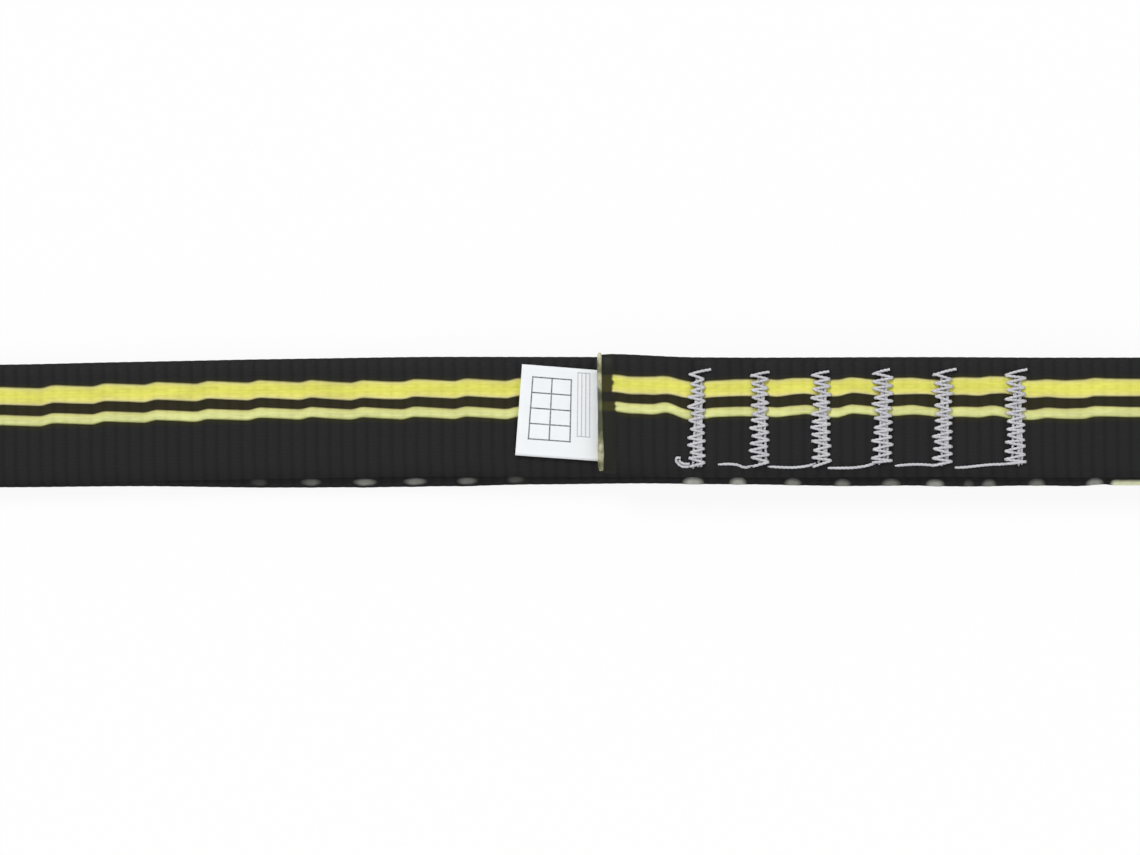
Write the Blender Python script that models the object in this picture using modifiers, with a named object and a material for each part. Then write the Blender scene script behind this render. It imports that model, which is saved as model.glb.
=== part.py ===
import math

import bmesh
import bpy

# Sewn webbing sling, laid straight. Metres. X runs along the sling, Y across the webbing, Z up.
# The rear strand lies on z = 0 and the front strand lies on the rear one.
mm = 0.001

# Webbing and loop
sling_length = 600 * mm  # inside, end to end, both strands straight
web_width = 20 * mm
web_thickness = 2 * mm
web_corner_radius = 0.6 * mm
bight_inner_height = 13 * mm  # room inside each end bend, for a carabiner
bight_slope_length = 50 * mm  # the front strand comes down over this length
clearance = 0.3 * mm  # between pieces that lie on each other

# How the strands lie beside each other, across the webbing
rear_lane = -0.85 * mm
front_lane = 0.35 * mm
lap_end_lane = 0.85 * mm
front_drift_start = -20 * mm
front_drift_end = -100 * mm
rear_drift_start = 94 * mm
rear_drift_end = 130 * mm

# Lapped and sewn zone
cut_end_x = 5 * mm  # cut end of the upper ply
cut_to_first_bartack = 16.2 * mm
bartack_count = 6
bartack_pitch = 10.2 * mm
last_bartack_extra = 1.8 * mm  # the last gap is a little wider
hidden_tail_length = 15.8 * mm  # lower ply past the last bartack
settle_start = -12 * mm
settle_end = -37 * mm
lap_ramp_length = 22 * mm  # the upper ply comes down past the hidden end

# Thread
thread_diameter = 0.4 * mm
bartack_length = 16.2 * mm
bartack_width = 3.4 * mm
bartack_offset = -0.1 * mm  # from the middle of the front strand
zigzag_count = 14
tip_length = 0.22 * mm
top_tail_length = 1.3 * mm
start_tail_length = 1.9 * mm
jump_inset = 0.5 * mm  # from the bartacks' lower ends
jump_slack = 0.5 * mm
jump_runs = 6

# Label
label_thickness = 0.4 * mm
label_height = 15.4 * mm
label_offset = 0.15 * mm  # from the middle of the front strand, at the cut end
label_free_length = 13.4 * mm  # left of the cut end
label_lean = math.radians(3.7)
label_past_bartack = 1.4 * mm
hinge_to_cut_end = 1.5 * mm

# Step lengths along the webbing
bend_steps = 14
slope_step = 3.2 * mm
drift_step = 5 * mm
ramp_step = 2.2 * mm

# Heights of the middle of each ply
rear_z = web_thickness / 2
resting_z = rear_z + web_thickness + clearance
lower_ply_z = rear_z + web_thickness + thread_diameter + 2 * clearance
upper_ply_z = lower_ply_z + web_thickness + clearance
over_label_z = upper_ply_z + label_thickness + clearance
label_z = lower_ply_z + web_thickness / 2 + clearance + label_thickness / 2

# Places across the webbing
bartack_center_y = front_lane + bartack_offset
jump_y = bartack_center_y - bartack_length / 2 + jump_inset
label_center_y = front_lane + label_offset

# Places along the sling
bend_radius = (bight_inner_height + web_thickness) / 2
bend_x = sling_length / 2 - bight_inner_height / 2
first_bartack_x = cut_end_x + cut_to_first_bartack
bartack_places = [first_bartack_x + i * bartack_pitch for i in range(bartack_count)]
bartack_places[-1] += last_bartack_extra
hidden_end_x = bartack_places[-1] + hidden_tail_length
hinge_x = cut_end_x - hinge_to_cut_end
label_tail_end_x = first_bartack_x + bartack_width / 2 + label_past_bartack
pressed_x = bartack_places[1] - bartack_width / 2 - thread_diameter


def ease(value, start, end):
    """0 at start and 1 at end, flat beyond both."""
    share = min(max((value - start) / (end - start), 0), 1)
    return share * share * (3 - 2 * share)


def between(low, high, share):
    return low + (high - low) * share


def lower_ply_height(x):
    return between(lower_ply_z, resting_z, ease(x, settle_start, settle_end))


def upper_ply_height(x):
    sewn = between(over_label_z, upper_ply_z, ease(x, label_tail_end_x, pressed_x))
    past_hidden_end = hidden_end_x + web_thickness / 2
    return between(sewn, resting_z, ease(x, past_hidden_end, past_hidden_end + lap_ramp_length))


def lower_ply_lane(x):
    return between(front_lane, rear_lane, ease(x, front_drift_start, front_drift_end))


def upper_ply_lane(x):
    return between(lap_end_lane, front_lane, ease(x, cut_end_x, first_bartack_x))


def rear_strand_lane(x):
    return between(rear_lane, front_lane, ease(x, rear_drift_start, rear_drift_end))


def spaced(start, end, step):
    """Places from start up to but not including end, about one step apart."""
    count = max(1, round(abs(end - start) / step))
    return [between(start, end, i / count) for i in range(count)]


def slope_height(x, low):
    """The front strand between a bend's top and where it lies on the rear strand."""
    top = rear_z + 2 * bend_radius
    return between(top, low, ease(abs(x), bend_x, bend_x - bight_slope_length))


def bend(side, lane):
    """The half turn at one end, from the front strand down to the rear one (side -1 is the left end)."""
    stations = []
    for i in range(1, bend_steps):
        turn = math.pi * i / bend_steps
        x = side * (bend_x + bend_radius * math.sin(turn))
        z = rear_z + bend_radius * (1 + math.cos(turn))
        stations.append((x, lane, z))
    return stations


def webbing_route():
    """Middle line of the webbing as (x, y, z), from its hidden end round the loop to its visible cut end."""
    slope_end = bend_x - bight_slope_length
    route = []
    lower = [hidden_end_x, *spaced(cut_end_x, settle_start, drift_step)]
    lower += spaced(settle_start, settle_end, drift_step)
    lower += spaced(settle_end, front_drift_end, drift_step) + [front_drift_end]
    for x in lower:
        route.append((x, lower_ply_lane(x), lower_ply_height(x)))
    for x in spaced(-slope_end, -bend_x, slope_step) + [-bend_x]:
        route.append((x, rear_lane, slope_height(x, resting_z)))
    route += bend(-1, rear_lane)
    rear = [-bend_x, *spaced(rear_drift_start, rear_drift_end, drift_step), rear_drift_end, bend_x]
    for x in rear:
        route.append((x, rear_strand_lane(x), rear_z))
    route += reversed(bend(1, front_lane))
    for x in [bend_x, *reversed(spaced(slope_end, bend_x, slope_step))]:
        route.append((x, front_lane, slope_height(x, resting_z)))
    ramp_start = hidden_end_x + web_thickness / 2
    upper = spaced(ramp_start + lap_ramp_length, ramp_start, ramp_step) + [ramp_start]
    upper += spaced(pressed_x, label_tail_end_x, thread_diameter * 2)
    upper += spaced(label_tail_end_x, cut_end_x, drift_step) + [cut_end_x]
    for x in upper:
        route.append((x, upper_ply_lane(x), upper_ply_height(x)))
    return route


def make_material(name, color, roughness):
    material = bpy.data.materials.new(name)
    material.use_nodes = True
    shader = material.node_tree.nodes["Principled BSDF"]
    shader.inputs["Base Color"].default_value = (*color, 1)
    shader.inputs["Roughness"].default_value = roughness
    shader.inputs["Metallic"].default_value = 0
    material.diffuse_color = (*color, 1)
    return material


def add_object(name, data, material, collection):
    data.materials.append(material)
    obj = bpy.data.objects.new(name, data)
    collection.objects.link(obj)
    return obj


def add_webbing(collection, material):
    """A flat strip laid along the route, thickened and rounded along its edges."""
    route = webbing_route()
    last = len(route) - 1
    strip = bmesh.new()
    bmesh.ops.create_grid(strip, x_segments=last, y_segments=1, size=1)
    for vertex in strip.verts:
        x, y, z = route[round((vertex.co.x + 1) / 2 * last)]
        vertex.co = (x, y + vertex.co.y * web_width / 2, z)
    data = bpy.data.meshes.new("webbing_loop")
    strip.to_mesh(data)
    strip.free()
    obj = add_object("webbing_loop", data, material, collection)
    wall = obj.modifiers.new("Webbing thickness", "SOLIDIFY")
    wall.thickness = web_thickness
    wall.offset = 0
    wall.use_even_offset = True
    rounding = obj.modifiers.new("Rounded edges", "BEVEL")
    rounding.width = web_corner_radius
    rounding.segments = 2
    rounding.limit_method = "ANGLE"
    rounding.angle_limit = math.radians(60)
    data.shade_smooth()
    data.set_sharp_from_angle(angle=math.radians(40))


def add_thread(name, points, roundness, material, collection):
    """A round thread along straight runs from point to point."""
    data = bpy.data.curves.new(name, "CURVE")
    data.dimensions = "3D"
    data.bevel_depth = thread_diameter / 2
    data.bevel_resolution = roundness
    data.use_fill_caps = True
    spline = data.splines.new("POLY")
    spline.points.add(len(points) - 1)
    for spot, (x, y, z) in zip(spline.points, points):
        spot.co = (x, y, z, 1)
    return add_object(name, data, material, collection)


def bartack_points(place, height, first):
    """Zigzag of one bartack, from its slanted top tail down; the first bartack ends in a loose tail."""
    reach = (bartack_width - thread_diameter) / 2
    top = bartack_center_y + bartack_length / 2
    step = bartack_length / (2 * zigzag_count)
    points = [(place + reach + top_tail_length, top + top_tail_length / 2, height)]
    for i in range(2 * zigzag_count):
        side = reach if i % 2 == 0 else -reach
        points.append((place + side, top - i * step, height))
        points.append((place + side, top - i * step - tip_length, height))
    if first:
        x, y, _ = points[-1]
        points.append((x - start_tail_length, y + start_tail_length / 2, height))
    return points


def jump_points(start, end, surface):
    """Thread carried from one bartack to the next, a little slack, at a set height over the ply."""
    room = bartack_width / 2 + clearance
    low = start + room + thread_diameter / 2
    high = end - room - thread_diameter / 2
    points = []
    for i in range(jump_runs + 1):
        share = i / jump_runs
        x = between(low, high, share)
        y = jump_y - jump_slack * math.sin(math.pi * share)
        points.append((x, y, surface(x)))
    return points


def needle_height(x):
    return upper_ply_height(x) + web_thickness / 2 + clearance + thread_diameter / 2


def bobbin_height(x):
    return lower_ply_height(x) - web_thickness / 2 - clearance - thread_diameter / 2


def add_stitching(collection, material):
    """Needle thread on the face of the upper ply, and bobbin thread under the lower ply."""
    for kind, surface in (("needle", needle_height), ("bobbin", bobbin_height)):
        roundness = 1 if kind == "needle" else 0
        for i, place in enumerate(bartack_places):
            points = bartack_points(place, surface(place), i == 0)
            add_thread(f"{kind}_bartack_{i + 1}", points, roundness, material, collection)
        for i, (start, end) in enumerate(zip(bartack_places, bartack_places[1:])):
            points = jump_points(start, end, surface)
            add_thread(f"{kind}_jump_{i + 1}_{i + 2}", points, 1, material, collection)


def add_label_piece(name, left, right, material, collection):
    """A flat piece of the label tape; left and right give x at a height y across the webbing."""
    data = bpy.data.curves.new(name, "CURVE")
    data.dimensions = "2D"
    data.fill_mode = "BOTH"
    data.extrude = label_thickness / 2
    spline = data.splines.new("POLY")
    spline.points.add(3)
    spline.use_cyclic_u = True
    corners = []
    for side in (-1, 1):
        y = label_center_y + side * label_height / 2
        corners += [(left(y), y), (right(y), y)] if side < 0 else [(right(y), y), (left(y), y)]
    for spot, (x, y) in zip(spline.points, corners):
        lean = math.tan(label_lean) * (x - cut_end_x)
        spot.co = (x - hinge_x, y - lean, 0, 1)
    obj = add_object(name, data, material, collection)
    obj.location = (hinge_x, 0, label_z)
    return obj


def add_label(collection, material):
    """The label tape in two pieces, with its hinge line just left of the cut end."""
    free_end = cut_end_x - label_free_length
    half_gap = clearance / 2
    swing_room = label_thickness / 2 + clearance
    add_label_piece(
        "label_flap",
        lambda y: free_end + math.tan(label_lean) * (y - label_center_y),
        lambda y: hinge_x - half_gap,
        material,
        collection,
    )
    add_label_piece(
        "label_sewn_tail",
        lambda y: hinge_x + swing_room,
        lambda y: label_tail_end_x,
        material,
        collection,
    )


def main():
    for obj in list(bpy.data.objects):
        bpy.data.objects.remove(obj)
    collection = bpy.data.collections.new("climbing_sling")
    bpy.context.scene.collection.children.link(collection)
    webbing_nylon = make_material("webbing_nylon", (0.022, 0.022, 0.027), 0.8)
    bartack_thread = make_material("bartack_thread", (0.55, 0.54, 0.57), 0.6)
    label_tape = make_material("label_tape", (0.82, 0.83, 0.8), 0.7)
    add_webbing(collection, webbing_nylon)
    add_stitching(collection, bartack_thread)
    add_label(collection, label_tape)


main()
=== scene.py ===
import math
import random
from functools import partial

import bpy
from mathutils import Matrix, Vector


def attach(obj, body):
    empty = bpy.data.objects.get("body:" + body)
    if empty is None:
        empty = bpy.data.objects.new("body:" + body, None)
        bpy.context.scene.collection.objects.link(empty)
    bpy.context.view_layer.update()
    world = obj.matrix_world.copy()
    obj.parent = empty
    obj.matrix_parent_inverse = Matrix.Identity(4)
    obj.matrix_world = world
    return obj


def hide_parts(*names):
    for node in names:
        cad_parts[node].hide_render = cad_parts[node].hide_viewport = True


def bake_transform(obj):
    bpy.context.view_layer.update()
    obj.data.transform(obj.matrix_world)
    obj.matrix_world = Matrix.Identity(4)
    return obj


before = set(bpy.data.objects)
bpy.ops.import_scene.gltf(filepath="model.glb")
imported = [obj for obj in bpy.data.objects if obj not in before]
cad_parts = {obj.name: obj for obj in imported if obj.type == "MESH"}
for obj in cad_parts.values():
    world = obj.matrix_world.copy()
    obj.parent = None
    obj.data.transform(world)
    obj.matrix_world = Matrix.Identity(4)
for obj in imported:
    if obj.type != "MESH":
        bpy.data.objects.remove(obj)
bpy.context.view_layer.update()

# A sewn nylon climbing sling, laid straight, seen from above.
# X runs along the sling, Y across the tape, Z up; the rear strand lies on z = 0.
mm = 0.001

# The loop as the frame has it, so that every piece lies where its CAD node does
sling = {
    "insideLength": 600 * mm,
    "tapeWidth": 20 * mm,
    "tapeThickness": 2 * mm,
    "bightRoom": 13 * mm,
    "bightSlope": 50 * mm,
    "clearance": 0.3 * mm,
    "rearLane": -0.85 * mm,
    "frontLane": 0.35 * mm,
    "lapEndLane": 0.85 * mm,
    "frontDrift": (-20 * mm, -100 * mm),
    "rearDrift": (94 * mm, 130 * mm),
    "settle": (-12 * mm, -37 * mm),
    "lapRamp": 22 * mm,
    "cutEnd": 5 * mm,
    "firstBartack": 21.2 * mm,
    "bartackPitch": 10.2 * mm,
    "lastBartackExtra": 1.8 * mm,
    "hiddenTail": 15.8 * mm,
    "threadRoom": 0.4 * mm,
    "labelRoom": 0.4 * mm,
    "labelTail": 3.1 * mm,  # how far the label reaches past the first bartack
    "lapSettled": 2.1 * mm,  # before the second bartack, where the upper ply is down again
}

bartackPlaces = [sling["firstBartack"] + i * sling["bartackPitch"] for i in range(6)]
bartackPlaces[-1] += sling["lastBartackExtra"]
halfTape = sling["tapeThickness"] / 2
rearZ = halfTape
restingZ = rearZ + sling["tapeThickness"] + sling["clearance"]
lowerPlyZ = restingZ + sling["threadRoom"] + sling["clearance"]
upperPlyZ = lowerPlyZ + sling["tapeThickness"] + sling["clearance"]
overLabelZ = upperPlyZ + sling["labelRoom"] + sling["clearance"]
labelZ = lowerPlyZ + halfTape + sling["clearance"] + sling["labelRoom"] / 2
bendRadius = (sling["bightRoom"] + sling["tapeThickness"]) / 2
bendX = sling["insideLength"] / 2 - sling["bightRoom"] / 2
hiddenEnd = bartackPlaces[-1] + sling["hiddenTail"]


def ease(value, start, end):
    share = min(max((value - start) / (end - start), 0), 1)
    return share * share * (3 - 2 * share)


def between(low, high, share):
    return low + (high - low) * share


def spaced(start, end, step):
    # from start up to but not including end
    count = max(1, round(abs(end - start) / step))
    return [between(start, end, i / count) for i in range(count)]


def hump(value, centre, reach):
    return math.exp(-(((value - centre) / reach) ** 2))


def linearColor(hexColor):
    channels = [int(hexColor[i:i + 2], 16) / 255 for i in (1, 3, 5)]
    return [c / 12.92 if c <= 0.04045 else ((c + 0.055) / 1.055) ** 2.4 for c in channels] + [1]


def addNode(tree, kind, *inputs, stops=(), **settings):
    # Inputs go to the node's sockets in turn, or to those that a dictionary names; each is a node, one of
    # its outputs, or a plain value. Math nodes take their operation first. A Map Range takes a value, the
    # range that it is in, and the range that it goes to. Stops are a colour ramp's.
    if "Math" in kind:
        settings["operation"], *inputs = inputs
    node = tree.nodes.new(kind if "Node" in kind else "ShaderNode" + kind)
    for name, value in settings.items():
        setattr(node, name, value)
    for i, (place, hexColor) in enumerate(stops):
        elements = node.color_ramp.elements
        stop = elements[i] if i < 2 else elements.new(place)
        stop.position = place
        stop.color = linearColor(hexColor)
    for i, given in enumerate(inputs):
        for key, value in (given if isinstance(given, dict) else {i: given}).items():
            if isinstance(value, bpy.types.Node):
                value = value.outputs[0]
            if isinstance(value, bpy.types.NodeSocket):
                tree.links.new(value, node.inputs[key])
            else:
                node.inputs[key].default_value = value
    return node


def emptyTree(owner):
    # clears the nodes of a material or of the world, and gives the function that adds new ones
    owner.use_nodes = True
    owner.node_tree.nodes.clear()
    return partial(addNode, owner.node_tree)


def newTree(name, inputs):
    # each input has its default, or its kind where it has none
    tree = bpy.data.node_groups.new(name, "GeometryNodeTree")
    kinds = {int: "Int", float: "Float", tuple: "Vector"}
    keys = {}
    for label, default in inputs.items():
        kind = kinds.get(type(default), default)
        socket = tree.interface.new_socket(name=label, in_out="INPUT", socket_type="NodeSocket" + kind)
        if kind != default:
            socket.default_value = default
        keys[label] = socket.identifier
    tree.interface.new_socket(name="Geometry", in_out="OUTPUT", socket_type="NodeSocketGeometry")
    add = partial(addNode, tree)
    return tree, add, add("NodeGroupInput").outputs, keys


def closeTree(add, body, finish):
    body = add("GeometryNodeSetShadeSmooth", {"Geometry": body})
    body = add("GeometryNodeRealizeInstances", body)
    body = add("GeometryNodeSetMaterial", {"Geometry": body, "Material": finish})
    add("NodeGroupOutput", body)


def newObject(name, data):
    obj = bpy.data.objects.new(name, data)
    bpy.context.scene.collection.objects.link(obj)
    return obj


def meshObject(name, points, edges, faces=(), material=None, **attributes):
    # an attribute has one value for each point
    data = bpy.data.meshes.new(name)
    data.from_pydata(points, edges, faces)
    for key, values in attributes.items():
        data.attributes.new(key, "FLOAT", "POINT").data.foreach_set("value", values)
    if material:
        data.materials.append(material)
        data.shade_smooth()
    return newObject(name, data)


def lineObject(name, lines, closed=False, **attributes):
    # each line is a list of points
    points = []
    edges = []
    for line in lines:
        first = len(points)
        points += line
        edges += [(i, i + 1) for i in range(first, len(points) - 1)]
        if closed:
            edges.append((len(points) - 1, first))
    return meshObject(name, points, edges, **attributes)


def plainMesh(obj, name):
    # the helper object goes, and its evaluated shape stays as a mesh of its own
    bpy.context.view_layer.update()
    evaluated = obj.evaluated_get(bpy.context.evaluated_depsgraph_get())
    data = bpy.data.meshes.new_from_object(evaluated)
    data.name = name
    bpy.data.objects.remove(obj)
    return newObject(name, data)


def grow(helper, name, made, values):
    # runs a geometry tree on a helper object
    tree, keys = made
    modifier = helper.modifiers.new(tree.name, "NODES")
    modifier.node_group = tree
    for label, value in values.items():
        modifier[keys[label]] = value
    return plainMesh(helper, name)


# Camera: straight down on the front strand, from far off so that the sling keeps one scale
camera = {
    "height": 1400 * mm,
    "lookY": -1.233 * mm,
    "widthInView": 190 * mm,
    "scaleAtZ": 7 * mm,
    "sensor": 36,
    "clip": (0.05, 20),  # in metres
}


def addCamera():
    data = bpy.data.cameras.new("camera")
    data.sensor_width = camera["sensor"]
    data.lens = camera["sensor"] * (camera["height"] - camera["scaleAtZ"]) / camera["widthInView"]
    data.clip_start, data.clip_end = camera["clip"]
    obj = newObject("camera", data)
    obj.location = (0, camera["lookY"], camera["height"])
    bpy.context.scene.camera = obj


# Light: a pale room and two broad lamps; angles in degrees, the turn counted from +X towards +Y
light = {
    "roomStrength": 0.45,
    "lamps": [
        {"name": "keyLamp", "strength": 1.9, "turn": 128, "fromTop": 46, "softness": 22},
        {"name": "fillLamp", "strength": 0.8, "turn": -40, "fromTop": 52, "softness": 60},
    ],
}


def whiteForTheEye(add):
    # 1 where the camera, a gloss or a glass looks, and 0 for the light that falls on the sling
    path = add("LightPath").outputs
    seen = path["Is Camera Ray"]
    for ray in ("Is Glossy Ray", "Is Transmission Ray"):
        seen = add("Math", "MAXIMUM", seen, path[ray])
    return seen


def addLight():
    world = bpy.data.worlds.new("paleRoom")
    bpy.context.scene.world = world
    add = emptyTree(world)
    strength = add("MapRange", whiteForTheEye(add), {3: light["roomStrength"], 4: 1.0})
    add("OutputWorld", {"Surface": add("Background", {"Color": (1, 1, 1, 1), "Strength": strength})})
    for lamp in light["lamps"]:
        data = bpy.data.lights.new(lamp["name"], "SUN")
        data.energy = lamp["strength"]
        data.angle = math.radians(lamp["softness"])
        obj = newObject(lamp["name"], data)
        obj.rotation_euler = (0, math.radians(lamp["fromTop"]), math.radians(lamp["turn"]))


floor = {
    "size": 4,  # in metres
    "paint": "#f7f7f7",
    "ownWhite": 0.9,  # how far the floor shows plain white; the rest takes the sling's shadow
}


def floorPaint():
    # matt wall paint: a flat white that only the sling's soft shadow marks
    material = bpy.data.materials.new("mattFloorPaint")
    add = emptyTree(material)
    matt = add("BsdfDiffuse", {"Color": linearColor(floor["paint"])})
    white = add("Emission", {"Color": (1, 1, 1, 1), "Strength": 1.0})
    share = add("Math", "MULTIPLY", whiteForTheEye(add), floor["ownWhite"])
    add("OutputMaterial", {"Surface": add("MixShader", share, matt, white)})
    return material


def addFloor():
    bpy.ops.mesh.primitive_plane_add(size=floor["size"])
    plane = bpy.context.object
    plane.name = "floor"
    plane.data.materials.append(floorPaint())


# How each strand strays sideways as it lies: place along the sling, shift in Y, both in mm
wander = {
    "front": [
        (-300, 0), (-95, 0.12), (-76, 0.27), (-58, 0.25), (-40, 0.18), (-20, 0.23), (8, 0.2), (30, 0.08),
        (60, 0.17), (80, 0.08), (110, 0.1), (300, 0),
    ],
    "rear": [
        (-300, 0), (-95, -0.4), (-72, -0.22), (-50, -0.45), (-35, -0.4), (-20, -0.22), (-6, 0.08),
        (12, 0.25), (26, 0.12), (48, -0.18), (56, -0.1), (66, -0.26), (78, -0.1), (85, -0.2), (89, 0.12),
        (91.5, -0.08), (112, 0), (300, 0),
    ],
}

# How the bartacks pull the plies together, and the stripes aside
pinch = {
    "reach": 1.6 * mm,
    "upperDip": 0.26 * mm,
    "firstUpperDip": 0.55 * mm,
    "lowerRise": 0.1 * mm,
    "swell": 0.08 * mm,
    "swellReach": 6 * mm,
    "stripeDip": 0.3 * mm,
    "firstStripeDip": 0.45 * mm,
    "firstStripeReach": 3 * mm,
}
stripes = {
    # slow drift: place along the sling, shift towards the wide stripe's edge, both in mm
    "drift": [
        (-110, -0.5), (-95, -0.56), (-84, -0.39), (-70, -0.26), (-56, -0.28), (-47, -0.33), (-38, -0.54),
        (-31, -0.61), (-27, -0.51), (-20, -0.46), (-14, -0.43), (-6, -0.38), (7.5, -0.04), (10, -0.27),
        (13.5, -0.18), (16, 0.07), (19.5, -0.39), (24.5, -0.3), (28, -0.17), (32, 0.11), (34.5, -0.25),
        (37.5, 0.08), (39.5, 0.16), (44.5, -0.25), (47, 0.21), (50, -0.03), (54.5, 0), (57, 0.04),
        (60, -0.08), (65, 0.05), (68, -0.05), (70.5, 0.25), (73, 0.38), (77, -0.41), (79.5, -0.24),
        (82.5, -0.43), (85.5, -0.37), (87.5, -0.05), (90, -0.12), (93, -0.16), (110, -0.12),
    ],
    # how much more the narrow stripe shifts
    "narrowDrift": [
        (-110, -0.05), (-60, -0.04), (-48, 0.08), (-38, 0.16), (-31, 0.11), (-27, 0.02), (-20, -0.03),
        (-14, -0.06), (-9, -0.12), (0, 0.1), (7.5, 0.15), (10, 0.15), (13.5, 0.07), (16, 0.26),
        (19.5, -0.17), (24.5, 0.06), (28, 0.03), (32, -0.04), (34.5, -0.02), (37.5, -0.04), (39.5, 0.06),
        (44.5, -0.12), (47, 0), (50, 0.05), (54.5, -0.12), (57, 0.02), (60, -0.1), (65, -0.29),
        (68, -0.28), (70.5, -0.26), (73, -0.66), (77, -0.3), (79.5, -0.12), (82.5, -0.08), (85.5, -0.1),
        (87.5, -0.06), (90, -0.01), (93, -0.09), (110, 0),
    ],
    # share of their usual width, by the bartacks
    "width": [
        (12, 1), (14.5, 1.05), (18, 0.97), (25, 0.94), (36, 0.955), (39, 0.9), (44.5, 0.94), (49, 0.865),
        (54, 0.95), (56.5, 0.95), (59.5, 0.85), (65, 1), (69, 1.03), (72, 0.96), (77.5, 0.99), (82, 1.01),
        (86, 1.06), (90, 1), (95, 0.98),
    ],
    "between": 2.65 * mm,
    "middles": (5.13 * mm, 1.15 * mm),  # of the wide and the narrow stripe, across the tape
    "toothPitch": 8.63 * mm,  # the weave's repeat shows as low saw teeth
    "toothAt": -88.45 * mm,
    "toothRise": 0.26,  # share of the pitch
    "toothHeight": 0.42 * mm,
    "toothFade": (-8 * mm, 0),
}
# Tracer yarn: pale dashes by one edge, in two runs, the second ending in an unbroken strip
tracer = {
    # place along the sling and half length in mm, and brightness
    "dashes": [
        (-52, 1.3, 0.1), (-43.3, 1.5, 0.26), (-34.3, 1.7, 0.47), (-25.9, 1.7, 0.45), (-17.2, 1.5, 0.36),
        (-9.1, 1.3, 0.15), (20.6, 1.55, 0.85), (28.1, 1.25, 0.75), (37.3, 1.25, 0.48), (45.6, 1.2, 0.42),
        (53.7, 1.4, 0.38), (61.1, 1.35, 0.68), (66.7, 0.8, 0.14), (70.1, 1.1, 0.34), (78.1, 1.25, 0.36),
        (87.8, 1.3, 0.6),
    ],
    # their middle and half width across the tape along the sling, in mm
    "middle": [(-12, -9.1), (12, -9.75), (87, -9.75), (92, -9.9)],
    "halfWidth": [(-12, 0.55), (12, 0.9), (87, 0.85), (92, 0.75)],
    "soft": (1.25, 0.5),  # where a dash ends and where it is full, in half lengths from its middle
    "farEnough": 3,  # in half lengths, where nothing of a dash is left
    "solidFrom": (89.5 * mm, 91.5 * mm),
    "solidTo": (110 * mm, 118 * mm),
    "solidGlow": 2.0,
    "bulge": 0.12 * mm,
    "bulgeReach": 1.6,  # in half lengths
    "plyShift": 2.6 * mm,  # how much the pattern moves on from one ply to the next
    "colors": [(0, "#0a0a0b"), (0.5, "#cfcfc6"), (1, "#eff3cb")],
}


def pinchAt(x):
    return sum(hump(x, place, pinch["reach"]) for place in bartackPlaces)


def lowerPlyHeight(x):
    height = between(lowerPlyZ, restingZ, ease(x, *sling["settle"]))
    return height + pinch["lowerRise"] * pinchAt(x)


def upperPlyHeight(x):
    first, second, last = bartackPlaces[0], bartackPlaces[1], bartackPlaces[-1]
    down = ease(x, first + sling["labelTail"], second - sling["lapSettled"])
    ramp = hiddenEnd + halfTape
    height = between(between(overLabelZ, upperPlyZ, down), restingZ, ease(x, ramp, ramp + sling["lapRamp"]))
    sewn = ease(x, first - pinch["swellReach"], first) * ease(x, last + pinch["swellReach"], last)
    extra = (pinch["firstUpperDip"] - pinch["upperDip"]) * hump(x, first, pinch["reach"])
    return height + pinch["swell"] * sewn - pinch["upperDip"] * pinchAt(x) - extra


def valueAt(table, x):
    # a table's value at x, eased from one of its places to the next
    if x / mm <= table[0][0]:
        return table[0][1] * mm
    for (start, low), (end, high) in zip(table, table[1:]):
        if x / mm <= end:
            return between(low, high, ease(x / mm, start, end)) * mm
    return table[-1][1] * mm


def stripeShift(x, upper=False):
    share = ((x - stripes["toothAt"]) / stripes["toothPitch"]) % 1
    rise = stripes["toothRise"]
    tooth = ease(share, 0, rise) - 0.5 if share < rise else 0.5 - (share - rise) / (1 - rise)
    height = between(stripes["toothHeight"], 0, ease(x, *stripes["toothFade"]))
    shift = valueAt(stripes["drift"], x) + height * tooth
    if upper:
        extra = hump(x, bartackPlaces[0], pinch["firstStripeReach"])
        extra *= pinch["firstStripeDip"] - pinch["stripeDip"]
        shift -= pinch["stripeDip"] * pinchAt(x) + extra
    return shift


def tracerAt(x):
    # distance from the nearest dash's middle in half lengths, and how bright the dash is
    away, glow = min((abs(x - place * mm) / (half * mm), glow) for place, half, glow in tracer["dashes"])
    solid = ease(x, *tracer["solidFrom"]) * (1 - ease(x, *tracer["solidTo"]))
    return between(min(away, tracer["farEnough"]), 0, solid), between(glow, tracer["solidGlow"], solid)


def slopeHeight(x):
    top = rearZ + 2 * bendRadius
    return between(top, restingZ, ease(abs(x), bendX, bendX - sling["bightSlope"]))


def bightBend(side, lane, steps=60):
    points = []
    for i in range(1, steps):
        turn = math.pi * i / steps
        x = side * (bendX + bendRadius * math.sin(turn))
        points.append((x, lane, rearZ + bendRadius * (1 + math.cos(turn)), side * bendX))
    return points


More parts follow.
